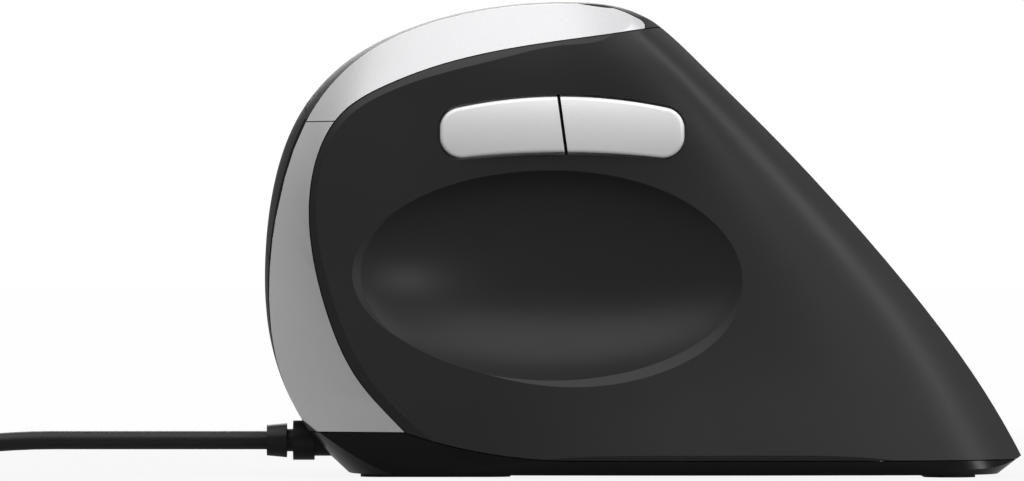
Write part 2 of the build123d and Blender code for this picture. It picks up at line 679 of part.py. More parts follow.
def long_switch(x, y):
    """A long switch on the finger board, by its middle; the plunger stands near its front."""
    length, width, height = SWITCH_SIZE
    top = -BOARD_DROP + height
    body = block((x - length / 2, x + length / 2), (y - width / 2, y + width / 2), (-BOARD_DROP, top))
    px = x - length / 2 + PLUNGER_INSET
    plunger = plunger_block(px, y, top, 0)
    body = body - plunger_block(px, y, top, PLUNGER_CLEARANCE)
    return on_finger_side(body), on_finger_side(plunger)


def plunger_block(x, y, top, clearance):
    """A long switch's plunger, or with a clearance the pocket that it rides in."""
    length, width = PLUNGER_SIZE
    half_x, half_y = length / 2 + clearance, width / 2 + clearance
    low = top - PLUNGER_DEPTH - (PLUNGER_STANDS if clearance else 0)
    return block((x - half_x, x + half_x), (y - half_y, y + half_y), (low, top + PLUNGER_STANDS))


def tact_switch(plane):
    """A square switch on a plane that faces the way its plunger points."""
    length, width, height = TACT_SIZE
    body = block((-length / 2, length / 2), (-width / 2, width / 2), (0, height))
    low = height - PLUNGER_DEPTH + PLUNGER_STANDS
    plunger = rod(TACT_PLUNGER_RADIUS, (0, 0, low), (0, 0, height + PLUNGER_STANDS))
    pocket = rod(TACT_PLUNGER_RADIUS + PLUNGER_CLEARANCE, (0, 0, low - PLUNGER_STANDS), (0, 0, height))
    return (body - pocket).moved(plane.location), plunger.moved(plane.location)


def finger_tact(x):
    return tact_switch(Plane(finger_point(x, 0, -BOARD_DROP), x_dir=(1, 0, 0), z_dir=FINGER_PLANE.z_dir))


def thumb_tact(x):
    origin = (x, THUMB_SWITCH_TOP_Y + TACT_SIZE[2], THUMB_TACT_Z)
    return tact_switch(Plane(origin, x_dir=(1, 0, 0), z_dir=(0, -1, 0)))


# The boards

def finger_board():
    """The board under the finger buttons, open for the wheel's cradle."""
    half = FINGER_BOARD_HALF_WIDTH
    z = (-BOARD_DROP - BOARD_THICKNESS, -BOARD_DROP)
    board = block((-FINGER_BOARD_FRONT, FINGER_BOARD_REAR), (-half, half), z)
    cheek = WHEEL_WIDTH / 2 + SLOT_SIDE_GAP + CRADLE_WALL + RUNNING_GAP * 2
    slot = WHEEL_RADIUS + RUNNING_GAP
    encoder = cheek + ENCODER_SIZE[1]
    board = board - block((-slot, slot), (-cheek, encoder), (-OVERRUN, OVERRUN))
    for ear in HINGE_EARS_Y:
        board = board - ear_block(ear, RUNNING_GAP, -OVERRUN)
        board = board - ear_block(-ear, RUNNING_GAP, -OVERRUN)
    for x, y in FINGER_SCREWS:
        board = board - rod(SCREW_RADIUS + SCREW_FIT, (x, y, -OVERRUN), (x, y, OVERRUN))
    return on_finger_side(board)


def ear_block(y, gap, low):
    """An ear of the chassis that holds the buttons' hinge pin."""
    half = LUG_THICKNESS / 2 + gap
    reach = HINGE_PIN_RADIUS + CHASSIS_THICKNESS + gap
    return block((HINGE_X - reach, HINGE_X + reach), (y - half, y + half), (low, HINGE_LIFT + reach))


def chassis():
    """The carrier of the boards: a sloping plate, ears, two legs and an upright by the thumb."""
    half = FINGER_BOARD_HALF_WIDTH
    top = -BOARD_DROP - BOARD_THICKNESS - CHASSIS_BOSS
    low = top - CHASSIS_THICKNESS
    plate = finger_block((-FINGER_BOARD_FRONT, FINGER_BOARD_REAR), (-half, half), (low, top))
    above = finger_block((-LENGTH, LENGTH), (-LENGTH, LENGTH), (top - CHASSIS_THICKNESS / 2, LENGTH))
    floor = FOOT_DROP + FLOOR
    legs = []
    for x in LEG_X:
        a, b = x - LEG_WIDTH / 2, x + LEG_WIDTH / 2
        legs.append(block((a, b), LEG_Y, (floor, WHEEL_CENTRE[2])) - above)
        foot_y = (LEG_Y[0] - LEG_FOOT_MARGIN, LEG_Y[1] + LEG_FOOT_MARGIN)
        legs.append(block((a - LEG_FOOT_MARGIN, b + LEG_FOOT_MARGIN), foot_y, (floor, floor + LEG_FOOT)))
    upright = block(UPRIGHT_X, (UPRIGHT_Y, UPRIGHT_Y + CHASSIS_THICKNESS), UPRIGHT_Z)
    web = block(UPRIGHT_X, (UPRIGHT_Y, WEB_END_Y), (WEB_Z, WEB_Z + CHASSIS_THICKNESS))
    body = plate + legs + upright + web
    for y in HINGE_EARS_Y:
        body = body + on_finger_side(ear_block(y, 0, low)) + on_finger_side(ear_block(-y, 0, low))
    inner = WHEEL_WIDTH / 2 + SLOT_SIDE_GAP
    cheek = inner + CRADLE_WALL + RUNNING_GAP
    guide = CRADLE_HALF_LENGTH + RUNNING_GAP
    wheel = WHEEL_RADIUS - TYRE_THICKNESS + RUNNING_GAP
    encoder_x = ENCODER_SIZE[0] / 2 + RUNNING_GAP
    encoder_y = inner + CRADLE_WALL + ENCODER_SIZE[1] + RUNNING_GAP
    depth = (-OVERRUN, top + SEAM)
    body = body - finger_block((-guide, guide), (-cheek, cheek), depth)
    body = body - finger_block((-wheel, wheel), (-inner, inner), depth)
    body = body - finger_block((-encoder_x, encoder_x), (0, encoder_y), depth)
    for x, y in FINGER_SCREWS:
        body = body + finger_rod(BOSS_RADIUS, (x, y, low), (x, y, top + CHASSIS_BOSS))
        body = body - finger_rod(SCREW_RADIUS + SCREW_FIT, (x, y, -OVERRUN), (x, y, 0))
    pin = HINGE_PIN_HALF_LENGTH + SEAM
    ends = (HINGE_X, -pin, HINGE_LIFT), (HINGE_X, pin, HINGE_LIFT)
    return body - finger_rod(HINGE_PIN_RADIUS + SCREW_FIT, *ends)


def hinge_pin():
    end = HINGE_PIN_HALF_LENGTH
    return finger_rod(HINGE_PIN_RADIUS, (HINGE_X, -end, HINGE_LIFT), (HINGE_X, end, HINGE_LIFT))


def main_board():
    """The board on the foot, with holes for its screws, the chassis's leg and the sensor."""
    z = (MAIN_BOARD_Z, MAIN_BOARD_Z + BOARD_THICKNESS)
    board = block(MAIN_BOARD_X, MAIN_BOARD_Y, z)
    a, b = LEG_X[1] - LEG_WIDTH / 2, LEG_X[1] + LEG_WIDTH / 2
    gap = RUNNING_GAP * 2
    board = board - block((a - gap, b + gap), (LEG_Y[0] - gap, LEG_Y[1] + gap), (0, OVERRUN))
    length, width = SENSOR_SIZE[0] / 3, SENSOR_SIZE[1] / 3
    board = board - sensor_block((length, width), (0, OVERRUN))
    for x, y in BOARD_POSTS:
        board = board - rod(SCREW_RADIUS + SCREW_FIT, (x, y, 0), (x, y, OVERRUN))
    return board


def sensor_block(size, z):
    """A box over the sensor's place."""
    length, width = size
    x, y = (SENSOR_X - length / 2, SENSOR_X + length / 2), (SENSOR_Y - width / 2, SENSOR_Y + width / 2)
    return block(x, y, z)


def thumb_board():
    x = (THUMB_TACTS[0] - BOARD_MARGIN, THUMB_TACTS[1] + BOARD_MARGIN)
    z = (THUMB_TACT_Z - BOARD_MARGIN, THUMB_TACT_Z + BOARD_MARGIN)
    return block(x, (UPRIGHT_Y - BOARD_THICKNESS, UPRIGHT_Y), z)


# The foot

def optical_sensor():
    z = MAIN_BOARD_Z + BOARD_THICKNESS
    return sensor_block(SENSOR_SIZE[:2], (z, z + SENSOR_SIZE[2]))


def sensor_lens():
    """The clear lens plate on the foot's floor, with its stalk up to the board."""
    low = FOOT_DROP + FLOOR
    plate = sensor_block(LENS_SIZE[:2], (low, low + LENS_SIZE[2] / 2))
    return plate + sensor_block(SENSOR_SIZE[:2], (low, MAIN_BOARD_Z))


def glide(x_range, y_middle, width):
    """A low-friction pad under the foot."""
    pad = block(x_range, (y_middle - width / 2, y_middle + width / 2), (0, FOOT_DROP))
    return pad.fillet(GLIDE_CORNER, pad.edges().filter_by(Axis.Z))


def foot_fittings(foot):
    """The foot's posts and holes: for the board, the case screws, the sensor and the cord."""
    floor = FOOT_DROP + FLOOR
    for x, y in BOARD_POSTS:
        foot = foot + rod(BOSS_RADIUS, (x, y, floor - SEAM), (x, y, MAIN_BOARD_Z))
        foot = foot - rod(SCREW_RADIUS + SCREW_FIT, (x, y, floor), (x, y, MAIN_BOARD_Z))
    for x, y in THUMB_POSTS + FINGER_POSTS:
        foot = foot - rod(SCREW_RADIUS + SCREW_FIT, (x, y, 0), (x, y, floor + OVERRUN))
        head_top = FOOT_DROP + SCREW_HEAD_HEIGHT + SCREW_FIT
        foot = foot - rod(SCREW_HEAD_RADIUS + SCREW_FIT, (x, y, 0), (x, y, head_top))
    foot = foot - sensor_block(SENSOR_WINDOW, (0, floor + SEAM))
    return main_solid(foot - cord_way())


def cord_way():
    """The hole through the front for the strain relief, with a seat for its inner collar."""
    start = (-LENGTH, CORD_Y, CORD_Z)
    seat = rod(COLLAR_INNER_DIAMETER / 2 + SEAM, start, (COLLAR_INNER_X[1], CORD_Y, CORD_Z))
    return seat + rod(RELIEF_STEM_DIAMETER / 2 + SEAM, start, (RELIEF_STEM_END_X, CORD_Y, CORD_Z))


def post(x, y, top, limit):
    """A shell's screw post, grown from the wall down to the foot's floor."""
    low = FOOT_DROP + FLOOR + SEAM * 2
    column = rod(BOSS_RADIUS, (x, y, low), (x, y, top)) & limit
    return main_solid(column)


def post_bore(x, y):
    low = FOOT_DROP + FLOOR
    return rod(SCREW_RADIUS + SCREW_FIT, (x, y, low), (x, y, low + CASE_SCREW_LENGTH))


def screw(start, direction, length):
    """A screw from under its head: a shank along the direction, and a pan head with a slot."""
    a, way = Vector(*start), Vector(*direction)
    body = rod(SCREW_RADIUS, a, a + way * length)
    head = rod(SCREW_HEAD_RADIUS, a - way * SCREW_HEAD_HEIGHT, a)
    socket = rod(SCREW_RADIUS / 2, a - way * SCREW_HEAD_HEIGHT, a - way * SCREW_HEAD_HEIGHT / 3)
    return body + (head - socket)


def case_screws():
    head = FOOT_DROP + SCREW_HEAD_HEIGHT
    return [screw((x, y, head), (0, 0, 1), CASE_SCREW_LENGTH) for x, y in THUMB_POSTS + FINGER_POSTS]


def board_screws():
    top = MAIN_BOARD_Z + BOARD_THICKNESS
    down = [screw((x, y, top), (0, 0, -1), BOARD_SCREW_LENGTH - FOOT_DROP) for x, y in BOARD_POSTS]
    inward = FINGER_PLANE.z_dir * -1
    down += [screw(finger_point(x, y, -BOARD_DROP), inward, BOARD_SCREW_LENGTH) for x, y in FINGER_SCREWS]
    return down


# The finger buttons' fittings

def button_fittings(button, rib_y, lug_y, wall_form):
    """A finger button's press rib and hinge lug, each grown up to the middle of its wall."""
    rib_low = -BOARD_DROP + SWITCH_SIZE[2] + PLUNGER_STANDS + SEAT_GAP
    rib_x = SWITCH_X - SWITCH_SIZE[0] / 2 + PLUNGER_INSET
    half = LUG_THICKNESS / 2
    rib = finger_block((rib_x - half, rib_x + half), (rib_y - half, rib_y + half), (rib_low, OVERRUN))
    reach = HINGE_PIN_RADIUS + CHASSIS_THICKNESS
    lug_x, lug_y = (HINGE_X - reach, HINGE_X + reach), (lug_y - half, lug_y + half)
    lug = finger_block(lug_x, lug_y, (HINGE_LIFT - reach, OVERRUN))
    hole = HINGE_PIN_RADIUS + HINGE_CLEARANCE
    pin = HINGE_PIN_HALF_LENGTH * 2
    button = button + (rib & wall_form) + (lug & wall_form)
    return button - finger_rod(hole, (HINGE_X, -pin, HINGE_LIFT), (HINGE_X, pin, HINGE_LIFT))


def resolution_button(outer):
    """The small button behind the wheel, with a flange under the shell and a push boss."""
    length, width = RESOLUTION_SIZE
    x = (RESOLUTION_X - length / 2, RESOLUTION_X + length / 2)
    low = TACT_TOP + SEAT_GAP
    surface = length_inside(outer, finger_point(RESOLUTION_X, 0, 0), finger_point(RESOLUTION_X, 0, OVERRUN))
    flange = surface - WALL * 3 / 2 - RESOLUTION_PRESS
    cap = finger_block(x, (-width / 2, width / 2), (flange, surface + RESOLUTION_PROUD))
    cap = cap.fillet(RESOLUTION_EDGE, cap.faces().sort_by(Axis((0, 0, 0), FINGER_PLANE.z_dir))[-1].edges())
    margin = RUNNING_GAP * 2
    half_x, half_y = length / 2 + margin, width / 2 + margin
    plate_x = (RESOLUTION_X - half_x, RESOLUTION_X + half_x)
    plate = finger_block(plate_x, (-half_y, half_y), (flange - WALL / 2, flange))
    boss = finger_rod(TACT_PLUNGER_RADIUS, (RESOLUTION_X, 0, low), (RESOLUTION_X, 0, flange))
    return cap + plate + boss


def resolution_opening():
    length, width = RESOLUTION_SIZE[0] / 2 + RUNNING_GAP, RESOLUTION_SIZE[1] / 2 + RUNNING_GAP
    x = (RESOLUTION_X - length, RESOLUTION_X + length)
    return finger_block(x, (-width, width), (0, OVERRUN))


# The strain relief and what it leads to

def strain_relief():
    """Two collars on a thin neck, a stem through the wall, and a flange behind it."""
    def at_cord(x):
        return (x, CORD_Y, CORD_Z)

    radius, length = COLLAR_OUTER_DIAMETER / 2, COLLAR_OUTER_X[1] - COLLAR_OUTER_X[0]
    front = Plane(at_cord(COLLAR_OUTER_X[0]), z_dir=(1, 0, 0))
    outer = Solid.make_cone(radius - COLLAR_TAPER, radius, length, front)
    body = outer + rod(COLLAR_INNER_DIAMETER / 2, at_cord(COLLAR_INNER_X[0]), at_cord(COLLAR_INNER_X[1]))
    body = body + rod(RELIEF_NECK_DIAMETER / 2, at_cord(COLLAR_OUTER_X[1]), at_cord(COLLAR_INNER_X[0]))
    body = body + rod(RELIEF_STEM_DIAMETER / 2, at_cord(COLLAR_INNER_X[1]), at_cord(RELIEF_STEM_END_X))
    end = RELIEF_STEM_END_X
    half = RELIEF_FLANGE_HALF_WIDTH
    return body + block((end - RELIEF_FLANGE_THICKNESS, end), (CORD_Y - half, CORD_Y + half), RELIEF_FLANGE_Z)


def cord_connector():
    """The socket on the main board that the cord's leads end in."""
    length, width, height = CONNECTOR_SIZE
    x = MAIN_BOARD_X[0]
    z = MAIN_BOARD_Z + BOARD_THICKNESS
    return block((x, x + length), (CORD_Y - width / 2, CORD_Y + width / 2), (z, z + height))


def connector_leads():
    """The cord's leads, from the strain relief to the connector."""
    z = MAIN_BOARD_Z + BOARD_THICKNESS + CONNECTOR_SIZE[2] / 2
    leads = []
    for i in range(LEADS):
        y = CORD_Y + (i - (LEADS - 1) / 2) * LEAD_PITCH
        start, end = Vector(RELIEF_STEM_END_X, y, CORD_Z), Vector(MAIN_BOARD_X[0], y, z)
        path = Polyline(start, start + Vector(LEAD_PITCH, 0, 0), end - Vector(LEAD_PITCH, 0, 0), end)
        section = Face(Wire.make_circle(LEAD_RADIUS, Plane(start, z_dir=(1, 0, 0))))
        leads.append(Solid.sweep(section, path, transition=Transition.RIGHT))
    return leads


# The cord: level out of the view, down to the desk, into a coil, and on to its plug

def coil_point(turns):
    """A point on the coil's centreline after so many turns, and the way that it runs there."""
    def place(t):
        pitch = CORD_DIAMETER + COIL_GAP
        layer = min(int(t / COIL_TURNS_PER_LAYER), COIL_LAYERS - 1)
        run = t - layer * COIL_TURNS_PER_LAYER
        outward = run if layer % 2 else COIL_TURNS_PER_LAYER - run
        radius = COIL_MEAN_RADIUS + (outward - COIL_TURNS_PER_LAYER / 2) * pitch
        height = LEAD_ROUTE[-1][2]
        for i in range(1, COIL_LAYERS):
            climb = min(max((t - i * COIL_TURNS_PER_LAYER) * 2 + 1 / 2, 0), 1)
            height += pitch * climb * climb * (3 - 2 * climb)
        turn = -pi / 2 - 2 * pi * t
        return Vector(COIL_CENTRE[0] + radius * cos(turn), COIL_CENTRE[1] + radius * sin(turn), height)

    step = 1 / 720
    way = place(turns + step) - place(turns - step) if turns else Vector(-1, 0, 0)
    return place(turns), way.normalized()


def biarc(start, start_way, end, end_way):
    """Two tangent arcs between two points."""
    chord = end - start
    both = start_way + end_way
    spread = 2 * (1 - start_way.dot(end_way))
    reach = (sqrt(chord.dot(both) ** 2 + spread * chord.dot(chord)) - chord.dot(both)) / spread
    corner_a, corner_b = start + start_way * reach, end - end_way * reach
    joint = (corner_a + corner_b) / 2
    return [arc(start, corner_a, joint), arc(joint, corner_b, end)]


def arc(start, corner, end):
    """The arc that touches both legs of a corner."""
    weight = ((end - start) / 2).length / (corner - start).length
    return ThreePointArc(start, (start + corner * 2 * weight + end) / (2 + 2 * weight), end)


def coil_turns():
    return COIL_LAYERS * COIL_TURNS_PER_LAYER - COIL_SHORT_OF_FULL


def coil_path():
    """The coil's centreline: a straight end, quarter turns of two arcs each, a straight end."""
    quarters = int(coil_turns() * 4)
    places = [coil_point(i / 4) for i in range(quarters + 1)]
    first, way = places[0]
    edges = [Line(first - way * CORD_DIAMETER, first)]
    for (a, way_a), (b, way_b) in zip(places, places[1:]):
        edges += biarc(a, way_a, b, way_b)
    last, way = places[-1]
    edges.append(Line(last, last + way * CORD_DIAMETER))
    return Wire(edges)


def tube(path, diameter):
    start = path.position_at(0)
    return Solid.sweep(Face(Wire.make_circle(diameter / 2, Plane(start, z_dir=path.tangent_at(0)))), path)


def rounded_route(points):
    """Straight runs joined by tangent arcs, each as large as its two runs allow."""
    points = [Vector(*p) for p in points]
    radii = []
    for a, b, c in zip(points, points[1:], points[2:]):
        turn = radians((b - a).get_angle(c - b))
        radii.append(ARC_RUN_SHARE * min((b - a).length, (c - b).length) / (sin(turn / 2) / cos(turn / 2)))
    print("cord arcs", [round(r, 1) for r in radii])
    return Wire(FilletPolyline(*points, radius=radii).edges())


def cord_tie():
    """A flat tie round all the coil's turns, on the far side from the lead."""
    pitch = CORD_DIAMETER + COIL_GAP
    half_span = (COIL_TURNS_PER_LAYER - 1) / 2 * pitch + CORD_DIAMETER / 2
    inner_r, outer_r = COIL_MEAN_RADIUS - half_span, COIL_MEAN_RADIUS + half_span
    sag = inner_r - sqrt(inner_r ** 2 - (TIE_WIDTH / 2) ** 2)
    low = LEAD_ROUTE[-1][2] - CORD_DIAMETER / 2 - TIE_GAP
    high = low + TIE_GAP * 2 + pitch * (COIL_LAYERS - 1) + CORD_DIAMETER
    x, y = COIL_CENTRE
    hole_y = (y + inner_r - sag - TIE_GAP, y + outer_r + TIE_GAP)
    ring_y = (hole_y[0] - TIE_THICKNESS, hole_y[1] + TIE_THICKNESS)
    x_range = (x - TIE_WIDTH / 2, x + TIE_WIDTH / 2)
    ring = block(x_range, ring_y, (low - TIE_THICKNESS, high + TIE_THICKNESS))
    return ring - block((x - TIE_WIDTH, x + TIE_WIDTH), hole_y, (low, high))


def tail_route():
    """The cord's last stretch: off the coil's top, over the lead and down to the plug."""
    last, way = coil_point(coil_turns())
    start = last + way * CORD_DIAMETER
    edge = start + way * TAIL_DROP_START
    foot = Vector(edge.X, edge.Y - TAIL_DROP_LENGTH, GRIP_THICKNESS / 2 + SEAM)
    return [start, edge, foot, foot - Vector(0, TAIL_RUN_OUT, 0)]


def usb_plug(start):
    """The plug's moulded grip, its metal shell and the tongue inside, heading away towards -Y."""
    x, y, z = start.X, start.Y, start.Z
    back = y - GRIP_NECK_LENGTH
    end = back - GRIP_LENGTH
    neck = rod(GRIP_NECK_DIAMETER / 2, (x, y, z), (x, back, z))
    half = GRIP_WIDTH / 2
    grip = block((x - half, x + half), (end, back), (z - GRIP_THICKNESS / 2, z + GRIP_THICKNESS / 2))
    rear = grip.faces().sort_by(Axis.Y)[-1].edges()
    grip = grip.fillet(GRIP_CORNER, grip.edges().filter_by(Axis.Y) + rear)
    width, length, height = PLUG_SHELL_SIZE
    shell_y = (end - length, end)
    outer = block((x - width / 2, x + width / 2), shell_y, (z - height / 2, z + height / 2))
    half, rise = width / 2 - PLUG_SHELL_WALL, height / 2 - PLUG_SHELL_WALL
    shell = outer - block((x - half, x + half), shell_y, (z - rise, z + rise))
    width, height = PLUG_TONGUE
    top = z + rise
    tongue_y = (end - length + PLUG_TONGUE_SHORT, end)
    tongue = block((x - width / 2, x + width / 2), tongue_y, (top - height, top))
    return grip + neck, shell, tongue


def ribbon(x_range, points):
    """A flat jumper between two boards, by its course in the end view."""
    near = [Vector(x_range[0], y, z) for y, z in points]
    far = [Vector(x_range[0], y + RIBBON_THICKNESS, z) for y, z in reversed(points)]
    face = Face(Wire.make_polygon(near + far, close=True))
    return Solid.extrude(face, Vector(x_range[1] - x_range[0], 0, 0))


# Everything together

def housing():
    """The foot, the two shells, the trim and the finger buttons, all cut from one shell."""
    outer = housing_form(0, FOOT_DROP)
    wall_form = housing_form(WALL / 2, FOOT_DROP)
    shell = outer - housing_form(WALL, FOOT_DROP + FLOOR)
    upper = shell - foot_prism(SEAM / 2)
    rest = upper - panel_prism(SEAM)
    finger = main_solid(rest - trim_block(SEAM))
    trim = main_solid(rest & trim_block(0))
    thumb = main_solid((upper & panel_prism(0)) & panel_bevel_form()) - egg_form(LIP_CENTRE, LIP_RADII)
    reach = OVERRUN * 2
    button_side = finger & block((-LENGTH, LENGTH), (BUTTON_NEAR_Y, WIDTH), (-OVERRUN, LENGTH))
    index = main_solid(button_side & push_prism(index_outline(BUTTON_GAP), -reach, reach))
    middle = main_solid(button_side & push_prism(middle_outline(BUTTON_GAP), -reach, reach))
    finger = finger - push_prism(opening_outline(), -reach, reach) - resolution_opening() - cord_way()
    for x, y in FINGER_POSTS:
        finger = finger + post(x, y, FINGER_POST_TOP, wall_form) - post_bore(x, y)
    for x, y in THUMB_POSTS:
        thumb = thumb + post(x, y, THUMB_POST_TOP, wall_form) - post_bore(x, y)
    thumb = thumb - across(thumb_button_outline(THUMB_BUTTON_GAP), -WIDTH, UPRIGHT_Y)
    split = block((-LENGTH, LENGTH), (-WIDTH, WIDTH), (TRIM_SPLIT_Z - SEAM / 2, TRIM_SPLIT_Z + SEAM / 2))
    halves = sorted((trim - split).solids(), key=lambda solid: solid.volume)[-2:]
    front_trim, upper_trim = sorted(halves, key=lambda solid: solid.center().Z)
    return {
        "base_plate": foot_fittings(main_solid(shell & foot_prism(-SEAM / 2))),
        "thumb_side_shell": main_solid(thumb),
        "finger_side_shell": main_solid(finger),
        "upper_trim_band": upper_trim,
        "front_trim_band": front_trim,
        "index_button": main_solid(button_fittings(index, INDEX_SWITCH_Y, -HINGE_LUG_Y, wall_form)),
        "middle_button": main_solid(button_fittings(middle, MIDDLE_SWITCH_Y, HINGE_LUG_Y, wall_form)),
        "resolution_button": resolution_button(outer),
    }


def insides():
    """The wheel, the switches and all that carries them."""
    parts = {
        "wheel_core": wheel_core(), "wheel_tyre": wheel_tyre(), "wheel_axle": wheel_axle(),
        "wheel_cradle": wheel_cradle(), "rotary_encoder": rotary_encoder(), "finger_board": finger_board(),
        "inner_chassis": chassis(), "button_hinge_pin": hinge_pin(), "main_board": main_board(),
        "thumb_board": thumb_board(), "optical_sensor": optical_sensor(), "sensor_lens": sensor_lens(),
    }
    parts["forward_button"], parts["back_button"] = thumb_buttons()
    switches = {
        "index": long_switch(SWITCH_X, INDEX_SWITCH_Y),
        "middle": long_switch(SWITCH_X, MIDDLE_SWITCH_Y),
        "wheel_click": finger_tact(CLICK_TACT_X), "resolution": finger_tact(RESOLUTION_X),
        "forward": thumb_tact(THUMB_TACTS[0]), "back": thumb_tact(THUMB_TACTS[1]),
    }
    for name, (body, plunger) in switches.items():
        parts[name + "_switch"] = body
        parts[name + "_plunger"] = plunger
    parts["case_screws"] = Compound(children=case_screws())
    parts["board_screws"] = Compound(children=board_screws())
    parts["front_glide_foot"] = glide(GLIDE_FRONT_X, GLIDE_FRONT_Y, GLIDE_FRONT_WIDTH)
    parts["rear_glide_foot"] = glide(GLIDE_REAR_X, GLIDE_REAR_Y, GLIDE_REAR_WIDTH)
    parts["finger_jumper"] = ribbon(FINGER_RIBBON_X, FINGER_RIBBON)
    parts["thumb_jumper"] = ribbon(THUMB_RIBBON_X, THUMB_RIBBON)
    return parts


def cord():
    """The strain relief, the cord's three stretches, its tie and its plug."""
    lead = rounded_route(LEAD_ROUTE)
    coil = coil_path()
    tail = rounded_route(tail_route())
    report_cord(lead, coil, tail)
    grip, shell, tongue = usb_plug(tail_route()[-1])
    return {
        "strain_relief": strain_relief(), "cord_connector": cord_connector(),
        "connector_leads": Compound(children=connector_leads()), "cord_lead": tube(lead, CORD_DIAMETER),
        "cord_coil": tube(coil, CORD_DIAMETER), "cord_tail": tube(tail, CORD_DIAMETER),
        "cord_tie": cord_tie(),
        "usb_plug_grip": grip, "usb_plug_shell": shell, "usb_plug_tongue": tongue,
    }


def report_cord(lead, coil, tail):
    """Print the cord's lengths, its tubes' volumes and the coil's least gap to itself."""
    section = pi * CORD_DIAMETER ** 2 / 4
    for name, path in (("lead", lead), ("coil", coil), ("tail", tail)):
        print(name, "length", round(path.length, 1), "volume", round(path.length * section, 1))
    print("whole cord", round(lead.length + coil.length + tail.length, 1))
    steps = coil_turns() * COIL_CHECK_STEPS
    points = [coil_point(i / COIL_CHECK_STEPS)[0] for i in range(int(steps) + 1)]
    half = COIL_CHECK_STEPS // 2
    least = min((a - b).length for i, a in enumerate(points) for b in points[i + half:])
    print("least gap in the coil", round(least - CORD_DIAMETER, 2))


if __name__ == "__main__":
    os.makedirs("parts", exist_ok=True)
    for name, shape in {**insides(), **cord(), **housing()}.items():
        export_step(shape, "parts/" + name + ".step")
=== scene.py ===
from math import cos, pi, radians, sin

import bpy
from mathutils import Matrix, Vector


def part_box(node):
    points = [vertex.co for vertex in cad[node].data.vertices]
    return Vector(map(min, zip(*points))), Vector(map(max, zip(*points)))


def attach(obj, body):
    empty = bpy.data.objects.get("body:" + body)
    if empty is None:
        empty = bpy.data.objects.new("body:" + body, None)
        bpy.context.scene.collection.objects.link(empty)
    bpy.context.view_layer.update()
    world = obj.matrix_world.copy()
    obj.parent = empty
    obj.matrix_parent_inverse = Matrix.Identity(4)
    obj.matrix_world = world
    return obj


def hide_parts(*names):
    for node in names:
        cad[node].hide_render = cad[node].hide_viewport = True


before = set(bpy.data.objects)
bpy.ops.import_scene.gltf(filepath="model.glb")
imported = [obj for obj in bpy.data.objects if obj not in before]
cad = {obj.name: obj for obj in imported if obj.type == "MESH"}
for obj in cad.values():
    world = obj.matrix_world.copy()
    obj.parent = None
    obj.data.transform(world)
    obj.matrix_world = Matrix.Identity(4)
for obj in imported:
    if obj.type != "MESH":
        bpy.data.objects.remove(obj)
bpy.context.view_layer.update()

# The camera stands level with the middle of the mouse and looks square at its thumb side, from far
# enough away that the long lens keeps the outline almost free of perspective.
view_width = 0.1621
view_distance = 1.5
thumb_side_nearer = 0.02
view_middle_x, view_middle_z = -0.02085, 0.0375
lens = bpy.data.cameras.new("camera")
lens.sensor_width = 36.0
lens.lens = lens.sensor_width * (view_distance - thumb_side_nearer) / view_width
lens.clip_start, lens.clip_end = 0.01, 20.0
camera = bpy.data.objects.new("camera", lens)
camera.location = (view_middle_x, -view_distance, view_middle_z)
camera.rotation_euler = (radians(90), 0, 0)
bpy.context.scene.collection.objects.link(camera)
bpy.context.scene.camera = camera

# The desk cord: one unbroken length of round black jacket, level out of the strain relief, down to
# the desk, wound into a neat coil of four layers, and off the coil's top to the plug beside it.


class Sum:
    """A node's socket that takes part in sums: an expression on it adds its Math nodes."""

    def __init__(self, socket):
        self.socket = socket

    def maths(self, operation, a, b):
        return node(self.socket.id_data, "ShaderNodeMath", {"operation": operation}, {0: a, 1: b})

    def __add__(self, other):
        return self.maths("ADD", self, other)

    def __sub__(self, other):
        return self.maths("SUBTRACT", self, other)

    def __rsub__(self, other):
        return self.maths("SUBTRACT", other, self)

    def __mul__(self, other):
        return self.maths("MULTIPLY", self, other)

    __radd__ = __add__
    __rmul__ = __mul__


def node(tree, kind, settings=None, inputs=None, output=0):
    """Adds any node: its settings first, then its sockets' values or links."""
    made = tree.nodes.new(kind)
    for name, value in (settings or {}).items():
        setattr(made, name, value)
    for name, value in (inputs or {}).items():
        if isinstance(value, Sum):
            tree.links.new(value.socket, made.inputs[name])
        else:
            made.inputs[name].default_value = value
    return Sum(made.outputs[output])


def finish(name, **constants):
    """A new material, with its constants set straight on the shader's sockets."""
    made = bpy.data.materials.new(name)
    made.use_nodes = True
    tree = made.node_tree
    shader = next(n for n in tree.nodes if n.type == "BSDF_PRINCIPLED")
    for socket, value in constants.items():
        shader.inputs[socket.replace("_", " ")].default_value = value
    return made, tree, shader


def vary(tree, shader, **sockets):
    """Links what changes over the surface to the shader's sockets."""
    for socket, value in sockets.items():
        tree.links.new(value.socket, shader.inputs[socket.replace("_", " ")])


def own_place(tree):
    """A point's place in the piece's own coordinates, in metres."""
    return node(tree, "ShaderNodeTexCoord", output="Object")


def speckle(tree, scale, detail=3.0, rough=0.6):
    """Noise from 0 to 1, at a scale in features to the metre."""
    inputs = {"Vector": own_place(tree), "Scale": scale, "Detail": detail, "Roughness": rough}
    return node(tree, "ShaderNodeTexNoise", {}, inputs)


def ranged(value, low, high):
    """Takes a value from 0 to 1 onto low to high, in a straight line."""
    return value * (high - low) + low


def between(tree, factor, low, high):
    """A colour between two, by a factor from 0 to 1."""
    ends = [value if isinstance(value, Sum) else (*value, 1) for value in (low, high)]
    return node(tree, "ShaderNodeMix", {"data_type": "RGBA"}, {0: factor, 6: ends[0], 7: ends[1]}, output=2)


def relief(tree, shader, height, depth, strength=1.0):
    """A bump of a real depth in metres."""
    bump = node(tree, "ShaderNodeBump", {}, {"Height": height, "Distance": depth, "Strength": strength})
    vary(tree, shader, Normal=bump)


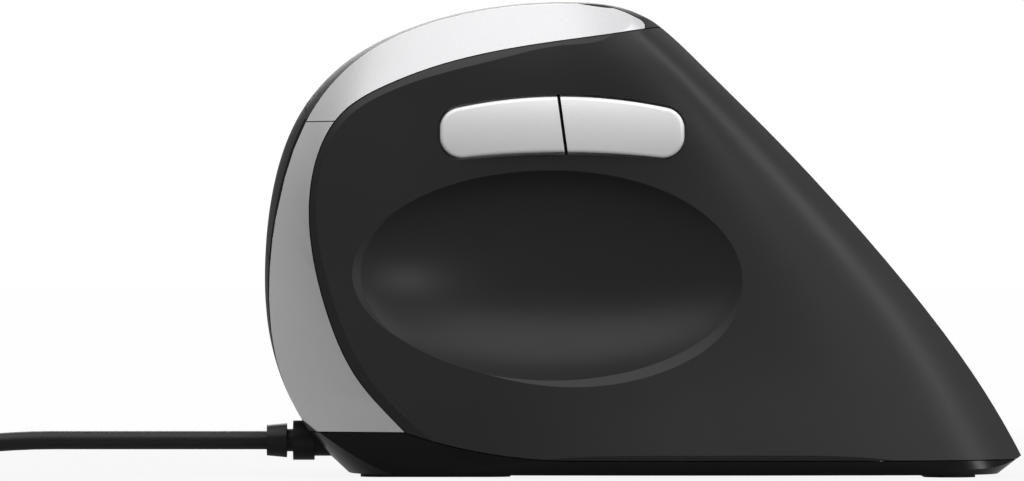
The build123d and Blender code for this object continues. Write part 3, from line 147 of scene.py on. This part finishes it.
jacket_dark, jacket_light = (0.008, 0.008, 0.009), (0.014, 0.014, 0.015)
jacket_roughness = (0.30, 0.46)
jacket_handling, jacket_sheen, jacket_grain = 160.0, 900.0, 5200.0
jacket_grain_depth = 0.00002
jacket, tree, shader = finish("cord_jacket", Specular_IOR_Level=0.25)
vary(tree, shader, Base_Color=between(tree, speckle(tree, jacket_handling), jacket_dark, jacket_light),
     Roughness=ranged(speckle(tree, jacket_sheen), *jacket_roughness))
relief(tree, shader, speckle(tree, jacket_grain), jacket_grain_depth)

cord_diameter = 0.003
cord_y = -0.006
exit_height = 0.0056
desk_height = 0.0022
lead = [
    (-0.060, cord_y, exit_height), (-0.084, cord_y, exit_height), (-0.104, cord_y, exit_height),
    (-0.124, cord_y, desk_height), (-0.134, cord_y, desk_height),
]
turns_per_layer, layers = 3, 4
turn_pitch = cord_diameter + 0.00045
coil_radius = 0.018
coil_centre_x = lead[-1][0] - cord_diameter
coil_centre_y = cord_y + coil_radius + turns_per_layer / 2 * turn_pitch
coil_turns = turns_per_layer * layers - 0.25
climb_turns = 0.5
points_per_turn = 20
spline_cuts_in = 1.006


def coil_point(turns):
    """A control point of the coil, whose layers go inwards and outwards by turns and climb between."""
    layer = min(int(turns / turns_per_layer), layers - 1)
    run = turns - layer * turns_per_layer
    outward = run if layer % 2 else turns_per_layer - run
    radius = (coil_radius + (outward - turns_per_layer / 2) * turn_pitch) * spline_cuts_in
    height = desk_height
    for i in range(1, layers):
        climb = min(max((turns - i * turns_per_layer) / climb_turns + 0.5, 0), 1)
        height += turn_pitch * climb * climb * (3 - 2 * climb)
    angle = -pi / 2 - 2 * pi * turns
    return (coil_centre_x + radius * cos(angle), coil_centre_y + radius * sin(angle), height)


coil = [coil_point(step / points_per_turn) for step in range(1, int(coil_turns * points_per_turn) + 1)]
past_coil, run_down = 0.012, 0.014
grip_low, grip_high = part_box("usb_plug_grip")
plug_z = (grip_low.z + grip_high.z) / 2
tail_x, off_y, top_z = coil[-1]
edge_y = off_y - cord_diameter - past_coil
tail = [
    (tail_x, off_y - cord_diameter, top_z), (tail_x, edge_y, top_z), (tail_x, edge_y - run_down, plug_z),
    (tail_x, grip_high.y, plug_z),
]
line = bpy.data.curves.new("cord", "CURVE")
line.dimensions = "3D"
line.bevel_depth = cord_diameter / 2
line.bevel_resolution = 5
line.resolution_u = 6
route = lead + coil + tail
spline = line.splines.new("NURBS")
spline.points.add(len(route) - 1)
for point, place in zip(spline.points, route):
    point.co = (*place, 1)
spline.order_u = 3
spline.use_endpoint_u = True
cord = bpy.data.objects.new("cord", line)
bpy.context.scene.collection.objects.link(cord)
line.materials.append(jacket)
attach(cord, "housing")
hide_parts("cord_lead", "cord_coil", "cord_tail")

# The plug, the coil's tie and the strain relief keep their CAD shapes: soft black moulding round the
# cord, a plated steel shell on the plug, and the same plated steel on the screws and pins.


def paint(material, *names):
    """Gives CAD nodes their material."""
    for name in names:
        cad[name].data.materials.clear()
        cad[name].data.materials.append(material)


paint(jacket, "usb_plug_grip", "cord_tie", "strain_relief", "connector_leads")
plating_dull, plating_bright = (0.46, 0.46, 0.47), (0.64, 0.64, 0.65)
plating_roughness = (0.2, 0.4)
plating_stains, plating_scratches = 400.0, 2500.0
steel, tree, shader = finish("plated_steel", Metallic=1.0)
vary(tree, shader, Base_Color=between(tree, speckle(tree, plating_stains), plating_dull, plating_bright),
     Roughness=ranged(speckle(tree, plating_scratches), *plating_roughness))
paint(steel, "usb_plug_shell", "wheel_axle", "button_hinge_pin", "case_screws", "board_screws")

# The two shells and the finger buttons: moulded dark grey plastic with a fine spark-eroded grain,
# screwed together from below. The grain is polished a little where the thumb rubs the hollow.


def span(tree, value, low, high, start=0.0, end=1.0):
    """Takes a value's stretch from low to high onto start to end, smoothly and held at both."""
    settings = {"interpolation_type": "SMOOTHSTEP"}
    inputs = {"Value": value, "From Min": low, "From Max": high, "To Min": start, "To Max": end}
    return node(tree, "ShaderNodeMapRange", settings, inputs)


shell_dark, shell_light = (0.0175, 0.0175, 0.0177), (0.0225, 0.0225, 0.0228)
shell_roughness = (0.40, 0.48)
shell_clouds, shell_clouds_detail = 45.0, 4.0
eroded_grain, eroded_detail = 4200.0, 2.0
eroded_depth, eroded_strength = 0.00001, 0.15
thumb_pad = (-0.015, -0.024, 0.030)
pad_inner, pad_outer = 0.012, 0.032
thumb_polish = 0.06
grey, tree, shader = finish("grey_grain", Specular_IOR_Level=0.22)
clouds = speckle(tree, shell_clouds, shell_clouds_detail)
ends = {0: own_place(tree), 1: thumb_pad}
to_pad = node(tree, "ShaderNodeVectorMath", {"operation": "DISTANCE"}, ends, output="Value")
rubbed = span(tree, to_pad, pad_inner, pad_outer, 1.0, 0.0)
vary(tree, shader, Base_Color=between(tree, clouds, shell_dark, shell_light),
     Roughness=ranged(clouds, *shell_roughness) - rubbed * thumb_polish)
relief(tree, shader, speckle(tree, eroded_grain, eroded_detail), eroded_depth, eroded_strength)
paint(grey, "thumb_side_shell", "finger_side_shell", "index_button", "middle_button")

# The foot: gloss black plastic, with two low-friction glides let into it and stuck down, and the
# sensor's window between them. The gloss shows where it was wiped, and the glides are worn dull.
gloss_dark, gloss_light = (0.003, 0.003, 0.0034), (0.005, 0.005, 0.0056)
gloss_roughness = (0.14, 0.28)
wiped_marks, wiped_sheen, wiped_detail = 120.0, 300.0, 5.0
black, tree, shader = finish("gloss_black", Specular_IOR_Level=0.16)
vary(tree, shader, Base_Color=between(tree, speckle(tree, wiped_marks, wiped_detail), gloss_dark, gloss_light),
     Roughness=ranged(speckle(tree, wiped_sheen, wiped_detail), *gloss_roughness))
paint(black, "base_plate")


def moulded(name, marks, dark, light, roughness, **constants):
    """A finish whose colour and gloss drift together, over marks of one size."""
    made, tree, shader = finish(name, **constants)
    flow = speckle(tree, marks)
    vary(tree, shader, Base_Color=between(tree, flow, dark, light), Roughness=ranged(flow, *roughness))
    return made, tree, shader


glide_dark, glide_light = (0.012, 0.012, 0.013), (0.022, 0.022, 0.023)
glide_roughness = (0.4, 0.6)
glide_wear = 700.0
glide, tree, shader = moulded(
    "glide_sheet", glide_wear, glide_dark, glide_light, glide_roughness, Specular_IOR_Level=0.35)
paint(glide, "front_glide_foot", "rear_glide_foot")

# The trim band, the thumb buttons and the small button behind the wheel: plastic under satin silver
# paint, with the paint's fine flake and the faint marks of hands. The thumb buttons are paler.
paint_flake, flake_detail = 3800.0, 2.0
flake_depth, flake_strength = 0.000004, 0.5
paint_handling, handling_detail = 60.0, 4.0


def satin_paint(name, metallic, dark, light, roughness):
    """Satin paint, with its flake in the colour and the relief, and handling marks in its gloss."""
    made, tree, shader = finish(name, Metallic=metallic, Specular_IOR_Level=0.4)
    flake = speckle(tree, paint_flake, flake_detail)
    handled = speckle(tree, paint_handling, handling_detail)
    vary(tree, shader, Base_Color=between(tree, flake, dark, light), Roughness=ranged(handled, *roughness))
    relief(tree, shader, flake, flake_depth, flake_strength)
    return made


silver_dark, silver_light = (0.56, 0.56, 0.57), (0.66, 0.66, 0.67)
silver = satin_paint("silver_paint", 0.2, silver_dark, silver_light, (0.36, 0.46))
paint(silver, "upper_trim_band", "front_trim_band", "resolution_button", "wheel_core")
pale_dark, pale_light = (0.79, 0.79, 0.80), (0.87, 0.87, 0.88)
pale = satin_paint("thumb_silver", 0.15, pale_dark, pale_light, (0.34, 0.44))
paint(pale, "forward_button", "back_button")

# The wheel: a ribbed rubber tyre pressed on a silver core. The rubber is dusty and rubbed in patches,
# and its moulded skin has a fine grain.
tyre_dark, tyre_light = (0.010, 0.010, 0.010), (0.020, 0.020, 0.020)
tyre_roughness = (0.55, 0.70)
tyre_dust, tyre_grain = 350.0, 3000.0
tyre_grain_depth = 0.00003
rubber, tree, shader = moulded(
    "tyre_rubber", tyre_dust, tyre_dark, tyre_light, tyre_roughness, Specular_IOR_Level=0.3)
relief(tree, shader, speckle(tree, tyre_grain), tyre_grain_depth)
paint(rubber, "wheel_tyre")

# The inside: black and white mouldings, dark green boards and the sensor's clear lens, screwed to the
# foot's posts and to the chassis under the finger buttons.
inner_dark, inner_light = (0.016, 0.016, 0.016), (0.026, 0.026, 0.026)
inner_roughness = (0.4, 0.6)
inner_flow = 200.0
inner, tree, shader = moulded(
    "inner_moulding", inner_flow, inner_dark, inner_light, inner_roughness, Specular_IOR_Level=0.4)
paint(inner, "inner_chassis", "wheel_cradle", "rotary_encoder", "index_switch", "middle_switch",
      "wheel_click_switch", "resolution_switch", "forward_switch", "back_switch", "optical_sensor")
ivory_dark, ivory_light = (0.62, 0.62, 0.58), (0.74, 0.74, 0.70)
ivory_roughness = (0.3, 0.5)
ivory_flow = 300.0
ivory, tree, shader = moulded("pale_moulding", ivory_flow, ivory_dark, ivory_light, ivory_roughness)
paint(ivory, "index_plunger", "middle_plunger", "wheel_click_plunger", "resolution_plunger", "forward_plunger",
      "back_plunger", "cord_connector", "finger_jumper", "thumb_jumper", "usb_plug_tongue")

mask_dark, mask_light, track_green = (0.003, 0.022, 0.009), (0.005, 0.034, 0.014), (0.010, 0.060, 0.024)
mask_roughness = (0.25, 0.35)
mask_clouds, mask_clouds_detail, track_cells = 260.0, 6.0, 420.0
track_edge, track_end = 0.04, 0.07
green, tree, shader = finish("solder_mask")
cells = {"Vector": own_place(tree), "Scale": track_cells}
to_track = node(tree, "ShaderNodeTexVoronoi", {"feature": "DISTANCE_TO_EDGE"}, cells)
track = span(tree, to_track, track_edge, track_end, 1.0, 0.0)
resist = between(tree, speckle(tree, mask_clouds, mask_clouds_detail), mask_dark, mask_light)
vary(tree, shader, Base_Color=between(tree, track, resist, track_green),
     Roughness=ranged(track, *mask_roughness))
paint(green, "finger_board", "main_board", "thumb_board")

lens_dark, lens_light = (0.86, 0.88, 0.89), (0.93, 0.94, 0.95)
lens_clouds = 90.0
clear, tree, shader = finish("clear_lens", Roughness=0.06, Transmission_Weight=0.9, IOR=1.58)
vary(tree, shader, Base_Color=between(tree, speckle(tree, lens_clouds), lens_dark, lens_light))
paint(clear, "sensor_lens")

# The studio: a white table in a white room, a soft box overhead, a long narrow lamp along the rear
# ridge, and soft fills from the camera's right and from the finger side. The room is white only to
# the camera and to reflections, and it lights the object little.
white = (1, 1, 1, 1)


def seen(tree, camera_share, mirror_share):
    """How much of its white a surface shows, by the kind of ray that meets it."""
    kinds = {"Is Camera Ray": camera_share, "Is Glossy Ray": mirror_share, "Is Transmission Ray": camera_share}
    shares = [node(tree, "ShaderNodeLightPath", output=kind) * share for kind, share in kinds.items()]
    return shares[0] + shares[1] + shares[2]


def mixed_in(tree, factor, plain, white_shader, kind):
    """Ends a material or the room in a mix of its plain shader and its white."""
    mixed = node(tree, "ShaderNodeMixShader", {}, {0: factor, 1: plain, 2: white_shader})
    end = next(n for n in tree.nodes if n.type == kind)
    tree.links.new(mixed.socket, end.inputs["Surface"])


table_size = 12.0
card_dark, card_light = (0.26, 0.26, 0.26), (0.30, 0.30, 0.30)
card_clouds = 3.0
shadow_inner, shadow_outer = 0.12, 0.45
white_near, white_far = 0.90, 0.99
table_mirrored = 0.2
bpy.ops.object.select_all(action="DESELECT")
bpy.ops.mesh.primitive_plane_add(size=table_size, location=(0, 0, 0))
floor = bpy.context.object
floor.name = "floor"
card, tree, shader = finish("white_card", Roughness=0.9, Specular_IOR_Level=0.1)
vary(tree, shader, Base_Color=between(tree, speckle(tree, card_clouds), card_dark, card_light))
glow = node(tree, "ShaderNodeEmission", {}, {"Color": white, "Strength": 1.0})
from_middle = node(tree, "ShaderNodeVectorMath", {"operation": "LENGTH"}, {0: own_place(tree)}, output="Value")
shadow_kept = span(tree, from_middle, shadow_inner, shadow_outer, white_near, white_far)
mixed_in(tree, seen(tree, shadow_kept, table_mirrored), Sum(shader.outputs[0]), glow, "OUTPUT_MATERIAL")
floor.data.materials.append(card)

room_light = 0.14
room_mirrored = 0.15
world = bpy.data.worlds.new("studio")
bpy.context.scene.world = world
world.use_nodes = True
tree = world.node_tree
dim = next(n for n in tree.nodes if n.type == "BACKGROUND")
dim.inputs["Strength"].default_value = room_light
dim.inputs["Color"].default_value = white
bright = node(tree, "ShaderNodeBackground", {}, {"Color": white, "Strength": 1.0})
mixed_in(tree, seen(tree, 1.0, room_mirrored), Sum(dim.outputs[0]), bright, "OUTPUT_WORLD")


def lamp(name, size, place, target, power):
    """A soft rectangular lamp that faces a point."""
    light = bpy.data.lights.new(name, "AREA")
    light.shape = "RECTANGLE"
    light.size, light.size_y = size
    light.energy = power
    made = bpy.data.objects.new(name, light)
    made.location = place
    made.rotation_euler = (Vector(target) - Vector(place)).to_track_quat("-Z", "Y").to_euler()
    bpy.context.scene.collection.objects.link(made)


lamp("overhead", size=(0.8, 0.7), place=(-0.06, -0.21, 0.54), target=(-0.01, 0, 0.04), power=4.0)
lamp("along_ridge", size=(0.10, 0.45), place=(0.46, -0.06, 0.42), target=(0.032, -0.01, 0.037), power=1.25)
lamp("front_fill", size=(0.3, 0.3), place=(0.8, -0.9, 0.16), target=(0, 0, 0.03), power=3.0)
lamp("finger_side", size=(0.5, 0.5), place=(-0.15, 0.9, 0.5), target=(0, 0, 0.03), power=3.0)
bpy.context.scene.view_settings.view_transform = "Standard"
